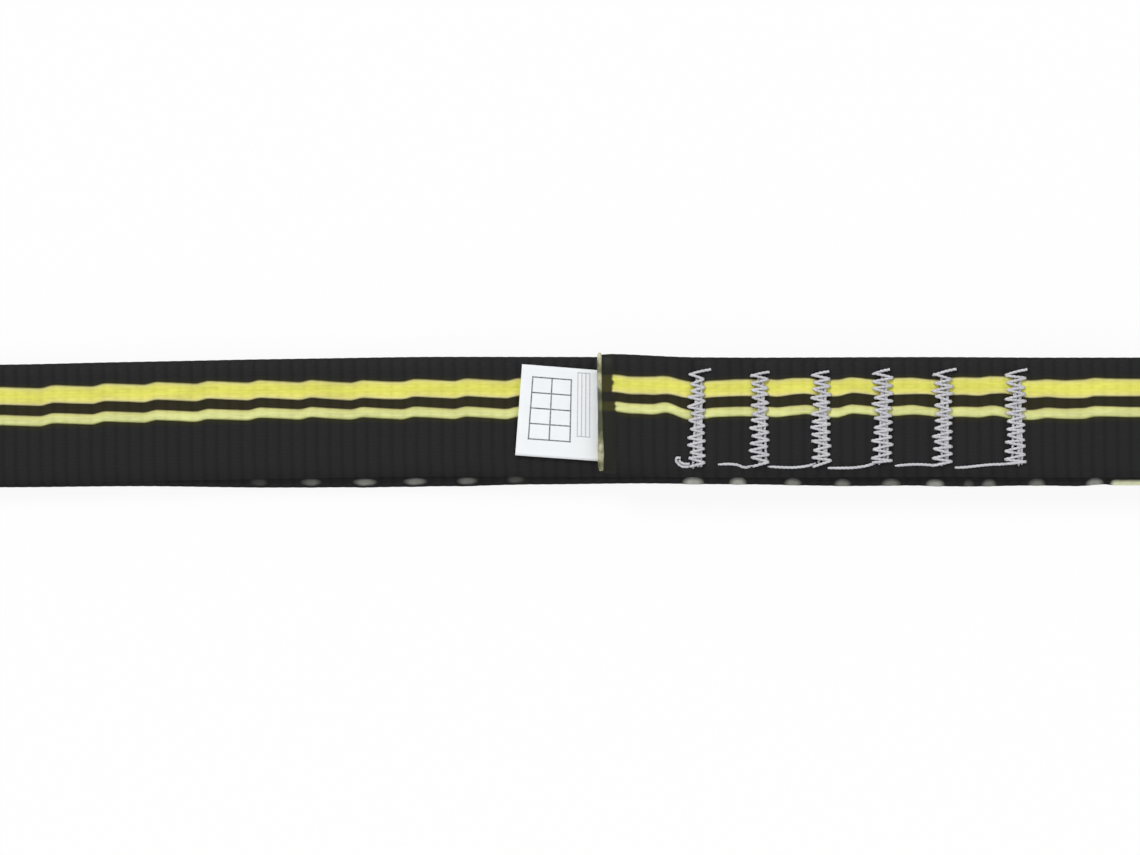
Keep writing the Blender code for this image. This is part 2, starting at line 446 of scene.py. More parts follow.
def tapeRoute(step=0.5 * mm):
    # middle line of the tape from its hidden end round the loop to its cut end, each point with the
    # place that its pattern is read at, and its ply: 0 in the rear strand, 1 below, 2 on top
    slopeEnd = bendX - sling["bightSlope"]
    route = []
    for x in spaced(hiddenEnd, -slopeEnd, step):
        lane = between(sling["frontLane"], sling["rearLane"], ease(x, *sling["frontDrift"]))
        route.append((x, lane + valueAt(wander["front"], x), lowerPlyHeight(x), x, 1))
    for x in spaced(-slopeEnd, -bendX, step) + [-bendX]:
        route.append((x, sling["rearLane"] + valueAt(wander["front"], x), slopeHeight(x), x, 1))
    route += [(*point, 0) for point in bightBend(-1, sling["rearLane"])]
    for x in spaced(-bendX, bendX, step) + [bendX]:
        lane = between(sling["rearLane"], sling["frontLane"], ease(x, *sling["rearDrift"]))
        away, glow = tracerAt(x)
        swollen = glow * (1 - ease(away, 0, tracer["bulgeReach"])) * (glow <= 1)
        lane += valueAt(wander["rear"], x) - tracer["bulge"] * swollen
        route.append((x, lane, rearZ, x, 0))
    route += [(*point, 0) for point in reversed(bightBend(1, sling["frontLane"]))]
    for x in spaced(bendX, slopeEnd, step):
        route.append((x, sling["frontLane"] + valueAt(wander["front"], x), slopeHeight(x), x, 2))
    for x in spaced(slopeEnd, sling["cutEnd"], step) + [sling["cutEnd"]]:
        lane = between(sling["lapEndLane"], sling["frontLane"], ease(x, sling["cutEnd"], bartackPlaces[0]))
        route.append((x, lane + valueAt(wander["front"], x), upperPlyHeight(x), x, 2))
    return route


tape = {
    "ribPitch": 1.0475 * mm,  # an eighth of the weave's repeat, which the stripes and the tracer show
    "ribHeight": 0.09 * mm,
    "pointsPerRib": 3,
    "grooves": ((1, 0.3), (2, 0.7)),  # one for each so many ribs, and its depth
    "ribShadeSpan": (-1.0, 0.74),  # rib heights over which the painted shade in the grooves turns into a painted highlight on the crests
    "yarnPitch": 0.6 * mm,
    "floatRelief": 0.06 * mm,
    "endSharpness": 3.0,
    "sideSharpness": 5.0,
    "edgeRound": 1.3 * mm,
    "edgeThickness": 0.42,  # share of the thickness that is left at the woven edge
    "edgeRib": 0.25,  # share of the ribs' height that is left there
    "columns": 12,
    "crowding": 1.3,  # over 1 brings them closer together by the edges
    "fibre": ((0.35, 9.0, 1.0), 2.0),  # changes per mm along and across the tape, and detail
    "blotch": ((0.12, 0.5, 1.0), 3.0),
    "ragged": 0.07 * mm,  # how far fibres stray over the edge of a stripe
    "melted": 2.1 * mm,  # where the cut end's heat has fused the weave
    "meltedSoft": 0.2 * mm,
    "meltedStray": 0.4 * mm,
    "meltedMore": 0.55 * mm,  # how much further it reaches on the narrow stripe's side
    "meltedMoreAt": (3.6 * mm, 2.1 * mm),
    "sink": 0.16 * mm,
    # painted highlight added to the colour of the rib crests
    "crestSheen": 0.0045,
    "fused": "#12130d",
    "scorch": (0.04, 0.036, 0.004),  # share of its colour that the weave keeps there
    # across the tape, in mm from its middle: black body, olive fringe, yellow, cream border
    "colors": [
        (-10, "#09090a"), (-9.1, "#0a0a0b"), (-8.6, "#0f0f11"), (-0.6, "#0f0f11"), (-0.2, "#191804"),
        (0.23, "#1f1d02"), (0.48, "#c4c780"), (0.8, "#d9dd96"), (1.5, "#d9db8d"), (1.85, "#c9c57f"),
        (2.05, "#1e1a00"), (3.6, "#1b1700"), (3.85, "#d8d08d"), (4.2, "#e2dc74"), (5, "#dfde60"),
        (5.95, "#dfdb69"), (6.38, "#d6d084"), (6.68, "#1e1d03"), (6.95, "#161506"), (7.4, "#0e0e10"),
        (10, "#0e0e10"),
    ],
}


def tapeOutline():
    # the flat tape's closed outline, thinner towards its woven edges; face is 1 on the striped side
    half = sling["tapeWidth"] / 2
    points = []
    faces = []
    for face in (1, -1):
        for i in range(tape["columns"] + 1):
            share = -1 + 2 * i / tape["columns"]
            across = half * math.copysign(1 - (1 - abs(share)) ** tape["crowding"], share) * face
            near = ease(half - abs(across), tape["edgeRound"], 0)
            height = halfTape * (1 - (1 - tape["edgeThickness"]) * near)
            points.append((across, -height * face, 0))
            faces.append(face)
    return points, faces


def tapeTree():
    tree, add, given, keys = newTree(
        "wovenTape",
        {
            "Geometry": "Geometry",
            "Outline": "Object",
            "Rib Pitch": tape["ribPitch"],
            "Rib Height": tape["ribHeight"],
            "Melted": tape["melted"],
            "Sink": tape["sink"],
            "Finish": "Material",
        },
    )
    route = add("GeometryNodeMeshToCurve", given["Geometry"])
    step = add("Math", "DIVIDE", given["Rib Pitch"], float(tape["pointsPerRib"]))
    route = add("GeometryNodeResampleCurve", {"Curve": route, "Length": step}, mode="LENGTH")
    route = add("GeometryNodeSetCurveNormal", {"Curve": route, "Normal": (0, 1, 0)}, mode="FREE")
    passed = add("GeometryNodeSplineParameter").outputs["Length"]
    whole = add("GeometryNodeSplineLength").outputs["Length"]
    left = add("Math", "SUBTRACT", whole, passed)
    nearest = add("Math", "MINIMUM", passed, left)
    # broad crests and narrow grooves, every second groove deeper
    index = add("GeometryNodeInputIndex")
    grooves = []
    for ribs, depth in tape["grooves"]:
        turn = 2 * math.pi / (tape["pointsPerRib"] * ribs)
        angle = add("Math", "MULTIPLY", index, turn)
        groove = add("Math", "COSINE", angle)
        grooves.append(add("Math", "MULTIPLY", groove, -depth))
    rib = add("Math", "ADD", grooves[0], grooves[1])
    woven = add("Math", "MULTIPLY", index, step)
    for name, value in (("along", woven), ("fromEnd", nearest), ("rib", rib)):
        stored = {"Geometry": route, "Name": name, "Value": value}
        route = add("GeometryNodeStoreNamedAttribute", stored, data_type="FLOAT", domain="POINT")
    outline = add("GeometryNodeObjectInfo", {"Object": given["Outline"]}).outputs["Geometry"]
    outline = add("GeometryNodeMeshToCurve", outline)
    body = add("GeometryNodeCurveToMesh", {"Curve": route, "Profile Curve": outline, "Fill Caps": True})
    names = ({"Name": name} for name in ("rib", "fromEnd", "across"))
    rib, fromEnd, across = (add("GeometryNodeInputNamedAttribute", n, data_type="FLOAT") for n in names)
    rib = add("Math", "MULTIPLY", rib, given["Rib Height"])
    across = add("Math", "ABSOLUTE", across)
    half = sling["tapeWidth"] / 2
    edge = half - tape["edgeRound"]
    fading = add("MapRange", across, edge, half, 1.0, tape["edgeRib"])
    rib = add("Math", "MULTIPLY", rib, fading)
    pressed = add("MapRange", fromEnd, {2: given["Melted"], 3: 1.0, 4: 0.0})
    sunk = add("Math", "MULTIPLY", given["Sink"], -1.0)
    lift = add("Mix", pressed, {2: rib, 3: sunk}, data_type="FLOAT")
    normal = add("GeometryNodeInputNormal")
    offset = add("VectorMath", "SCALE", normal, {"Scale": lift})
    body = add("GeometryNodeSetPosition", {"Geometry": body, "Offset": offset})
    closeTree(add, body, given["Finish"])
    return tree, keys


def wovenNylon():
    # nylon 6.6 webbing, warp-faced and yarn-dyed: dull black ribs, with bright yellow floats as stripes
    material = bpy.data.materials.new("wovenNylon")
    add = emptyTree(material)
    names = ["across", "along", "rib", "face", "fromEnd", "stripeShift", "narrowShift", "stripeWidth"]
    names += ["dashAway", "dashGlow", "dashMiddle", "dashHalf"]
    read = {name: add("Attribute", attribute_name=name).outputs["Fac"] for name in names}

    # warp floats over two ribs, staggered from yarn to yarn; real yarn is finer, this still shows
    yarn = add("Math", "DIVIDE", read["across"], tape["yarnPitch"])
    row = add("Math", "FLOOR", yarn)
    way = add("Math", "DIVIDE", read["along"], 2 * tape["ribPitch"])
    way = add("Math", "MULTIPLY_ADD", row, 0.5, way)
    dips = []
    for turn, sharpness in ((way, tape["endSharpness"]), (yarn, tape["sideSharpness"])):
        dip = add("Math", "MULTIPLY", turn, math.pi)
        dip = add("Math", "COSINE", dip)
        dip = add("Math", "ABSOLUTE", dip)
        dips.append(add("Math", "POWER", dip, sharpness))
    oneFloat = add("Math", "FLOOR", way)
    oneFloat = add("CombineXYZ", oneFloat, row)
    ownTone = add("TexWhiteNoise", {"Vector": oneFloat})
    place = add("CombineXYZ", read["along"], read["across"])
    place = add("VectorMath", "SCALE", place, {"Scale": 1 / mm})
    noises = []
    for changes, detail in (tape["fibre"], tape["blotch"]):
        noise = add("VectorMath", "MULTIPLY", place, changes)
        noises.append(add("TexNoise", {"Vector": noise, "Scale": 1.0, "Detail": detail}))
    fibre, blotch = noises

    # stripes: the place across the tape, with the weave's shift and a ragged edge
    ragged = add("MapRange", fibre, {3: -tape["ragged"], 4: tape["ragged"]})
    spot = add("Math", "SUBTRACT", read["across"], read["stripeShift"])
    narrow = add("Math", "LESS_THAN", spot, stripes["between"])
    shift = add("Math", "MULTIPLY", narrow, read["narrowShift"])
    wideMiddle, narrowMiddle = stripes["middles"]
    middle = add("MapRange", narrow, {3: wideMiddle, 4: narrowMiddle})
    spot = add("Math", "SUBTRACT", spot, shift)
    spot = add("Math", "SUBTRACT", spot, middle)
    spot = add("Math", "DIVIDE", spot, read["stripeWidth"])
    spot = add("Math", "ADD", spot, middle)
    spot = add("Math", "ADD", spot, ragged)
    half = sling["tapeWidth"] / 2
    spot = add("MapRange", spot, -half, half)
    stops = [((distance * mm / half + 1) / 2, hexColor) for distance, hexColor in tape["colors"]]
    striped = add("ValToRGB", spot, stops=stops)

    # tracer: lens-shaped dashes by one edge, on the side without the label
    aside = add("Math", "SUBTRACT", read["across"], read["dashMiddle"])
    aside = add("Math", "DIVIDE", aside, read["dashHalf"])
    lens = add("CombineXYZ", read["dashAway"], aside)
    lens = add("VectorMath", "LENGTH", lens).outputs["Value"]
    outer, inner = tracer["soft"]
    dash = add("MapRange", lens, outer, inner)
    inside = add("MapRange", read["face"], 0.2, -0.2)
    dash = add("Math", "MULTIPLY", dash, inside)
    glow = add("MapRange", read["dashGlow"], {2: tracer["solidGlow"]})
    pale = add("ValToRGB", glow, stops=tracer["colors"])
    color = add("Mix", dash, {6: striped, 7: pale}, data_type="RGBA").outputs[2]

    # shade: painted shade where each float dips under a weft yarn, between the yarns and in the grooves
    # between ribs, and each float a little different in tone
    groove, crest = tape["ribShadeSpan"]
    parts = [  # a field, its range, and the shade at both ends of that range
        # painted shade in the rib grooves, a little paler on the crests
        (read["rib"], groove, crest, 0.96, 1.01),
        # painted shade where the floats dip under the weft, and between the yarns
        (dips[0], 0.0, 1.0, 1.0, 0.97),
        (dips[1], 0.0, 1.0, 1.0, 0.98),
        (ownTone, 0.0, 1.0, 0.97, 1.03),
        (blotch, 0.3, 0.7, 0.91, 1.09),
        (fibre, 0.3, 0.7, 0.93, 1.07),
    ]
    for field, low, high, start, end in parts:
        shade = add("MapRange", field, low, high, start, end)
        color = add("VectorMath", "SCALE", color, {"Scale": shade})
    # painted highlight on the rib crests, which only the black shows
    crestSheen = add("MapRange", read["rib"], groove, crest, {4: tape["crestSheen"]})
    color = add("VectorMath", "ADD", color, crestSheen)

    # fused end: the heat leaves a dark, smooth, slightly shiny band
    stray, soft = tape["meltedStray"], tape["meltedSoft"]
    frayed = add("MapRange", blotch, 0.3, 0.7, -stray, stray)
    reach = add("Math", "ADD", read["fromEnd"], frayed)
    start, end = tape["meltedMoreAt"]
    further = add("MapRange", read["across"], start, end, {4: tape["meltedMore"]})
    reach = add("Math", "SUBTRACT", reach, further)
    fused = add("MapRange", reach, tape["melted"] + soft, tape["melted"] - soft)
    burnt = linearColor(tape["fused"])[:3]
    scorched = add("VectorMath", "MULTIPLY_ADD", color, tape["scorch"], burnt)
    color = add("Mix", fused, {6: color, 7: scorched}, data_type="RGBA").outputs[2]
    rough = add("MapRange", fused, {3: 0.66, 4: 0.5})
    woven = add("MapRange", fused, {3: 1.0, 4: 0.15})
    hollow = add("Math", "MULTIPLY_ADD", dips[1], 0.5, dips[0])
    height = add("Math", "MULTIPLY", fibre, 0.4)
    height = add("Math", "SUBTRACT", height, hollow)
    height = add("Math", "MULTIPLY", height, woven)
    relief = add("Bump", {"Height": height, "Strength": 0.55, "Distance": tape["floatRelief"]})
    finish = {"Base Color": color, "Roughness": rough, "Normal": relief}
    finish |= {"Specular IOR Level": 0.17, "Sheen Weight": 0.03, "Sheen Roughness": 0.5}
    add("OutputMaterial", {"Surface": add("BsdfPrincipled", finish)})
    return material


def makeTape(material):
    route = tapeRoute()
    line = [point[:3] for point in route]
    places = [point[3] for point in route]
    plies = [point[4] for point in route]
    dashes = [tracerAt(x - tracer["plyShift"] * ply) for x, ply in zip(places, plies)]
    drawn = {
        "stripeShift": [stripeShift(x, ply == 2) for x, ply in zip(places, plies)],
        "narrowShift": [valueAt(stripes["narrowDrift"], x) for x in places],
        "stripeWidth": [valueAt(stripes["width"], x) / mm for x in places],
        "dashAway": [away for away, glow in dashes],
        "dashGlow": [glow for away, glow in dashes],
        "dashMiddle": [valueAt(tracer["middle"], x) for x in places],
        "dashHalf": [valueAt(tracer["halfWidth"], x) for x in places],
    }
    guide = lineObject("tapeGuide", [line], **drawn)
    points, faces = tapeOutline()
    outline = lineObject("tapeOutline", [points], closed=True, across=[p[0] for p in points], face=faces)
    made = grow(guide, "webbing", tapeTree(), {"Outline": outline, "Finish": material})
    bpy.data.objects.remove(outline)
    length = sum((Vector(a) - Vector(b)).length for a, b in zip(line, line[1:]))
    print(f"webbing: {length / mm:.0f} mm of tape, {len(made.data.polygons)} faces")
    return made, length


# Sewing: six bartacks through both plies, the needle thread on top and the bobbin thread below
sewing = {
    "thickness": 0.49 * mm,
    "plies": 3,
    "plyTwist": 0.68 * mm,  # along the thread from one ply to the next
    "plyRound": (0.84, 1.06),  # radius between and on the plies, of half the thickness
    "legs": 24,
    "stepsPerLeg": 18,
    # of each bartack, in mm: shift along the sling, width, lower end, upper end
    "spans": [
        (-0.05, 3.1, -7.9, 7.55), (0.22, 3.5, -7.65, 7.3), (0.27, 3.7, -7.5, 7.4),
        (0.32, 3.85, -7.3, 7.65), (0.16, 3.75, -7.5, 7.45), (0.27, 3.85, -7.6, 7.5),
    ],
    "lie": 0.12 * mm,  # the thread's middle over the webbing at the stitch holes
    "arch": 0.3 * mm,
    "archSquare": 4.0,  # a higher power keeps the thread up for longer between its holes
    "bite": 0.55 * mm,
    "biteSteep": 22.0,
    "looseness": 0.17 * mm,
    "leftLooser": 1.9,  # the stitch holes stray more on the left side
    "underlayRuns": 4,
    "underlayWidth": 1.3 * mm,
    "underlayAside": 0.25 * mm,
    "underlaySteps": 90,
    "needleSeed": 11,
    "bobbinSeed": 47,
    "colors": ("#adacb3", "#d8d8db"),  # soiled and clean
}
# Loose thread, in mm: each bartack's cut end above it, and the two curls that the thread starts with.
# X counts from the bartack, Y from the sling's middle.
tails = {
    "ends": [(2.25, 8.43), (1.77, 8.02), (1.5, 8.1), (1.4, 8.43), (2.33, 8.52), (2.1, 8.43)],
    "starts": [
        [(-1.43, -7.75), (-2.4, -7.75), (-3.1, -7.35), (-3.55, -6.7), (-3.3, -6.25), (-2.8, -6.35)],
        [(-1.3, -7.3), (-2.1, -7.3), (-2.75, -7.05), (-3.05, -6.65)],
    ],
    "corners": (0, 0.12, 0.35, 0.7, 1),  # where a cut end bends, as shares of its way
    "lift": 0.25 * mm,
    "dive": 0.5 * mm,
    "stray": 0.1 * mm,
    "step": 0.18 * mm,
}
# The thread carried from each bartack to the next, in mm in the sling's own frame
jumps = {
    "paths": [
        [(24.67, -7.4), (26.33, -7.32), (27.83, -7.45), (28.67, -7.78), (29.5, -7.87), (30.3, -7.57)],
        [(33, -7.73), (35, -7.85), (37, -7.9), (38.83, -7.75), (40.17, -7.48), (40.9, -7.23)],
        [(43, -7.98), (45, -7.98), (47.17, -7.93), (48.83, -7.73), (50, -7.45), (50.8, -7.2)],
        [(54.17, -7.62), (55.83, -7.47), (57.5, -7.38), (59.17, -7.42), (60.5, -7.52), (61.3, -7.37)],
        [(64.17, -7.92), (65.83, -7.85), (68, -7.62), (70, -7.42), (71.8, -7.35), (72.9, -7.28)],
    ],
    "lie": 0.16 * mm,
    "dive": 0.35 * mm,
    "seed": 5,
}


def zigzag(add, given, legs, steps, run, swing, seed):
    # points of a thread that swings along X and goes forward along Y, arched between its stitch holes
    count = add("Math", "MULTIPLY_ADD", legs, steps, 1.0)
    line = add("GeometryNodeMeshLine", {"Count": count}, mode="OFFSET", count_mode="TOTAL")
    index = add("GeometryNodeInputIndex")
    way = add("Math", "DIVIDE", index, steps)
    leg = add("Math", "FLOOR", way)
    share = add("Math", "SUBTRACT", way, leg)
    following = add("Math", "ADD", leg, 1.0)
    holes = []
    for number in (leg, following):
        spots = []
        for operation, by, size in (("MODULO", 2.0, swing), ("DIVIDE", legs, run)):
            spot = add("Math", operation, number, by)
            spot = add("Math", "SUBTRACT", spot, 0.5)
            spots.append(add("Math", "MULTIPLY", spot, size))
        hole = add("CombineXYZ", *spots)
        loose = {0: (-1, -1, 0), 1: (1, 1, 0), "ID": number, "Seed": seed}
        loose = add("FunctionNodeRandomValue", loose, data_type="FLOAT_VECTOR")
        stray = add("MapRange", spots[0], -0.1 * mm, 0.1 * mm, sewing["leftLooser"])
        stray = add("Math", "MULTIPLY", stray, given["Looseness"])
        loose = add("VectorMath", "SCALE", loose, {"Scale": stray})
        holes.append(add("VectorMath", "ADD", hole, loose))
    place = add("Mix", share, {4: holes[0], 5: holes[1]}, data_type="VECTOR").outputs[1]
    outward = add("Math", "MULTIPLY_ADD", share, 2.0, -1.0)
    outward = add("Math", "ABSOLUTE", outward)
    fall = add("Math", "POWER", outward, sewing["archSquare"])
    rise = add("Math", "SUBTRACT", 1.0, fall)
    rise = add("Math", "MULTIPLY", rise, given["Arch"])
    dive = add("Math", "POWER", outward, sewing["biteSteep"])
    dive = add("Math", "MULTIPLY", dive, given["Bite"])
    height = add("Math", "SUBTRACT", rise, dive)
    height = add("CombineXYZ", {2: height})
    place = add("VectorMath", "ADD", place, height)
    return add("GeometryNodeSetPosition", {"Geometry": line, "Position": place})


def twistedThread(add, given, lines):
    # plies twisted together: a lobed outline that turns along the thread
    plyTurn = 2 * math.pi / sewing["plies"]
    thread = add("GeometryNodeMeshToCurve", lines)
    passed = add("GeometryNodeSplineParameter").outputs["Length"]
    turns = add("Math", "DIVIDE", passed, given["Ply Twist"])
    angle = add("Math", "MULTIPLY", turns, plyTurn)
    thread = add("GeometryNodeSetCurveTilt", {"Curve": thread, "Tilt": angle})
    radius = add("Math", "MULTIPLY", given["Thickness"], 0.5)
    ring = {"Resolution": 3 * sewing["plies"], "Radius": radius}
    ring = add("GeometryNodeCurvePrimitiveCircle", ring, mode="RADIUS")
    index = add("GeometryNodeInputIndex")
    lobe = add("Math", "MULTIPLY", index, plyTurn)
    lobe = add("Math", "COSINE", lobe)
    low, high = sewing["plyRound"]
    lobe = add("MapRange", lobe, -0.5, 1.0, low, high)
    spot = add("GeometryNodeInputPosition")
    spot = add("VectorMath", "SCALE", spot, {"Scale": lobe})
    ring = add("GeometryNodeSetPosition", {"Geometry": ring, "Position": spot})
    return add("GeometryNodeCurveToMesh", {"Curve": thread, "Profile Curve": ring, "Fill Caps": True})


threadInputs = {
    "Geometry": "Geometry",
    "Thickness": sewing["thickness"],
    "Ply Twist": sewing["plyTwist"],
    "Finish": "Material",
}


def bartackTree():
    # the object's own lines are the loose tails; the zigzag and the straight threads under it are grown
    tree, add, given, keys = newTree(
        "bartack",
        {
            **threadInputs,
            "Legs": sewing["legs"],
            "Length": 15 * mm,
            "Width": 3.7 * mm,
            "Arch": sewing["arch"],
            "Bite": sewing["bite"],
            "Looseness": sewing["looseness"],
            "Underlay Runs": sewing["underlayRuns"],
            "Underlay Width": sewing["underlayWidth"],
            "Underlay Aside": sewing["underlayAside"],
            "Centre": (0, 0, 0),
            "Facing": 1.0,
            "Seed": 0,
        },
    )
    length, width, runs = given["Length"], given["Underlay Width"], given["Underlay Runs"]
    swing = add("Math", "SUBTRACT", given["Width"], given["Thickness"])
    cover = zigzag(add, given, given["Legs"], sewing["stepsPerLeg"], length, swing, given["Seed"])
    otherSeed = add("Math", "ADD", given["Seed"], 100.0)
    underlay = zigzag(add, given, runs, sewing["underlaySteps"], width, length, otherSeed)
    lower = add("Math", "MULTIPLY", given["Arch"], -1.0)
    lower = add("CombineXYZ", given["Underlay Aside"], {2: lower})
    turned = {"Geometry": underlay, "Translation": lower, "Rotation": (0, 0, math.pi / 2)}
    underlay = add("GeometryNodeTransform", turned)
    lines = add("GeometryNodeJoinGeometry", cover)
    tree.links.new(underlay.outputs[0], lines.inputs[0])
    scale = add("CombineXYZ", 1.0, 1.0, given["Facing"])
    placed = {"Geometry": lines, "Translation": given["Centre"], "Scale": scale}
    lines = add("GeometryNodeTransform", placed)
    lines = add("GeometryNodeJoinGeometry", lines)
    tree.links.new(given["Geometry"], lines.inputs[0])
    closeTree(add, twistedThread(add, given, lines), given["Finish"])
    return tree, keys


def jumpTree():
    tree, add, given, keys = newTree("carriedThread", threadInputs)
    closeTree(add, twistedThread(add, given, given["Geometry"]), given["Finish"])
    return tree, keys


def sewingThread():
    # bonded polyester thread, twisted and lightly waxed: grey-white with a soft satin gloss
    material = bpy.data.materials.new("bondedPolyesterThread")
    add = emptyTree(material)
    place = add("TexCoord").outputs["Object"]
    # soil in spots of about 1.4 mm, and hairs of 0.17 mm, coarser than the real ones so that they show
    soil = add("TexNoise", {"Vector": place, "Scale": 700.0, "Detail": 3.0})
    soiled, clean = (linearColor(color) for color in sewing["colors"])
    color = add("Mix", soil, {6: soiled, 7: clean}, data_type="RGBA").outputs[2]
    hairs = add("TexNoise", {"Vector": place, "Scale": 6000.0, "Detail": 2.0})
    relief = add("Bump", {"Height": hairs, "Strength": 0.35, "Distance": 0.03 * mm})
    finish = {"Base Color": color, "Roughness": 0.5, "Sheen Weight": 0.15, "Normal": relief}
    add("OutputMaterial", {"Surface": add("BsdfPrincipled", finish)})
    return material


def smoothLine(corners, step):
    # a rounded line through the corners (Catmull-Rom), in steps of about one length
    points = []
    for i in range(len(corners) - 1):
        a, b = corners[max(i - 1, 0)], corners[i]
        c, d = corners[i + 1], corners[min(i + 2, len(corners) - 1)]
        a, b, c, d = Vector(a), Vector(b), Vector(c), Vector(d)
        count = max(2, round((c - b).length / step))
        for j in range(count):
            t = j / count
            spot = 2 * b + (c - a) * t + (2 * a - 5 * b + 4 * c - d) * t * t
            points.append(tuple((spot + (3 * b - a - 3 * c + d) * t ** 3) / 2))
    points.append(tuple(corners[-1]))
    return points


def needleSide(x):
    return upperPlyHeight(x) + halfTape


def bobbinSide(x):
    return lowerPlyHeight(x) - halfTape


def tailLines(index, place, surface, facing, chance):
    # from the last stitch hole, on the left, up across the bartack to the thread's cut end
    aside, width, _, top = (value * mm for value in sewing["spans"][index])
    left = place + aside - (width - sewing["thickness"]) / 2
    endX, endY = tails["ends"][index]
    endX = place + endX * mm + tails["stray"] * chance.uniform(-1, 1)
    corners = []
    for share in tails["corners"]:
        x = between(left, endX, share)
        y = between(top, endY * mm, share) + tails["stray"] * math.sin(math.pi * share)
        height = sewing["lie"] + tails["lift"] - tails["dive"] * (share == 0)
        corners.append((x, y, surface(x) + facing * height))
    lines = [smoothLine(corners, tails["step"])]
    for start in tails["starts"] if index == 0 and facing > 0 else []:
        corners = []
        for i, (x, y) in enumerate(start):
            x = place + x * mm
            height = surface(x) + sewing["lie"] + tails["lift"] * i / len(start)
            corners.append((x, y * mm, height))
        lines.append(smoothLine(corners, tails["step"]))
    return lines


def jumpLine(index, surface, facing, chance):
    path = jumps["paths"][index]
    corners = []
    for i, (x, y) in enumerate(path):
        stray = 0 if facing > 0 else tails["stray"] * chance.uniform(-1, 1)
        height = jumps["lie"] - jumps["dive"] * (i in (0, len(path) - 1))
        corners.append((x * mm, y * mm + stray, surface(x * mm) + facing * height))
    return smoothLine(corners, tails["step"])


def makeStitching(material):
    bartack = bartackTree()
    jump = jumpTree()
    made = []
    chance = random.Random(jumps["seed"])
    for kind, surface, facing in (("needle", needleSide, 1), ("bobbin", bobbinSide, -1)):
        for i, place in enumerate(bartackPlaces):
            helper = lineObject("tails", tailLines(i, place, surface, facing, chance))
            aside, width, low, high = (value * mm for value in sewing["spans"][i])
            edge = surface(place + aside + width / 2)
            values = {
                "Finish": material,
                "Width": width,
                "Length": high - low,
                "Centre": (place + aside, (low + high) / 2, edge + facing * sewing["lie"]),
                "Facing": float(facing),
                "Seed": sewing[kind + "Seed"] + i,
            }
            made.append(grow(helper, f"{kind}Bartack{i + 1}", bartack, values))
            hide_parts(f"{kind}_bartack_{i + 1}")
        for i in range(len(jumps["paths"])):
            helper = lineObject("jump", [jumpLine(i, surface, facing, chance)])
            made.append(grow(helper, f"{kind}Jump{i + 1}{i + 2}", jump, {"Finish": material}))
            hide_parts(f"{kind}_jump_{i + 1}_{i + 2}")
    for piece in made:
        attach(piece, "sling")
    print(f"stitching: {len(made)} threads, {sum(len(p.data.polygons) for p in made)} faces")
    return made


# The cut ends are sealed with heat: a pale, hard bead of melted nylon stands along each
bead = {
    "halfWidths": (0.6 * mm, 0.42 * mm),  # at its lower and its upper end
    "halfHeight": 1.07 * mm,
    "lean": 0.36 * mm,
    "inside": 0.1 * mm,  # its middle, from the cut
    "bottom": 0.55 * mm,  # short of the tape's edge
    "cut": {"past": 0.45 * mm, "seed": 3},  # past: how far it reaches over the tape's upper edge
    "hidden": {"past": -0.2 * mm, "seed": 8},
    "lumps": 0.08,
    "wobble": 0.06,
    "squareness": 0.8,  # under 1 fills the corners of its outline
    "bluntness": 26,
    "rings": 160,
    "sides": 20,
    "middleY": 1.5 * mm,
    "palerFrom": (2.5 * mm, 9.0 * mm),  # to both sides of that middle
    "colors": [(0.36, "#3c3f26"), (0.5, "#70724e"), (0.68, "#c3bf9e")],
}


def meltedNylon():
    # nylon that melted and set again: hard and a little shiny, cream where thick and olive where thin
    material = bpy.data.materials.new("meltedNylon")
    add = emptyTree(material)
    place = add("TexCoord").outputs["Object"]
    # scorched in spots of about 2.4 mm
    scorch = add("TexNoise", {"Vector": place, "Scale": 420.0, "Detail": 4.0})
    # paler towards both corners, where more nylon gathered
    width = add("SeparateXYZ", place).outputs["Y"]
    width = add("Math", "SUBTRACT", width, bead["middleY"])
    width = add("Math", "ABSOLUTE", width)
    start, end = bead["palerFrom"]
    corner = add("MapRange", width, start, end, -0.09, 0.1, interpolation_type="SMOOTHSTEP")
    mixed = add("Math", "ADD", scorch, corner)
    color = add("ValToRGB", mixed, stops=bead["colors"])
    relief = add("Bump", {"Height": scorch, "Strength": 0.5, "Distance": 0.1 * mm})
    finish = {"Base Color": color, "Roughness": 0.42, "Normal": relief}
    add("OutputMaterial", {"Surface": add("BsdfPrincipled", finish)})
    return material


def makeBead(name, material, x, lane, z, own):
    chance = random.Random(own["seed"])
    waves = [(chance.uniform(2, 5), chance.uniform(0, 6.3), chance.uniform(0.4, 1)) for _ in range(5)]
    highest = lane + sling["tapeWidth"] / 2 + own["past"]
    lowest = lane - sling["tapeWidth"] / 2 + bead["bottom"]
    vertices = []
    faces = []
    rings, sides = bead["rings"], bead["sides"]
    # low lumps along it, and three faint ridges that wind round it
    for i in range(rings + 1):
        share = i / rings
        y = between(lowest, highest, share)
        lump = sum(size * math.sin(pace * share * 2 * math.pi + start) for pace, start, size in waves) / 3
        size = (1 + bead["lumps"] * lump) * max(1 - abs(2 * share - 1) ** bead["bluntness"], 0.02) ** 0.5
        centre = x + bead["lean"] * (0.5 - share)
        for j in range(sides):
            angle = 2 * math.pi * j / sides
            wobble = 1 + bead["wobble"] * math.sin(3 * angle + 9 * share + waves[0][1])
            across = between(*bead["halfWidths"], share) * math.cos(angle) * size * wobble
            up = math.copysign(abs(math.sin(angle)) ** bead["squareness"], math.sin(angle))
            vertices.append((centre + across, y, z + bead["halfHeight"] * up * size))
    for i in range(rings):
        for j in range(sides):
            a, b = i * sides + j, i * sides + (j + 1) % sides
            faces.append((a, a + sides, b + sides, b))
    faces.append(list(range(sides)))
    faces.append(list(range(rings * sides, (rings + 1) * sides))[::-1])
    obj = meshObject(name, vertices, (), faces, material)
    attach(obj, "sling")
    return obj


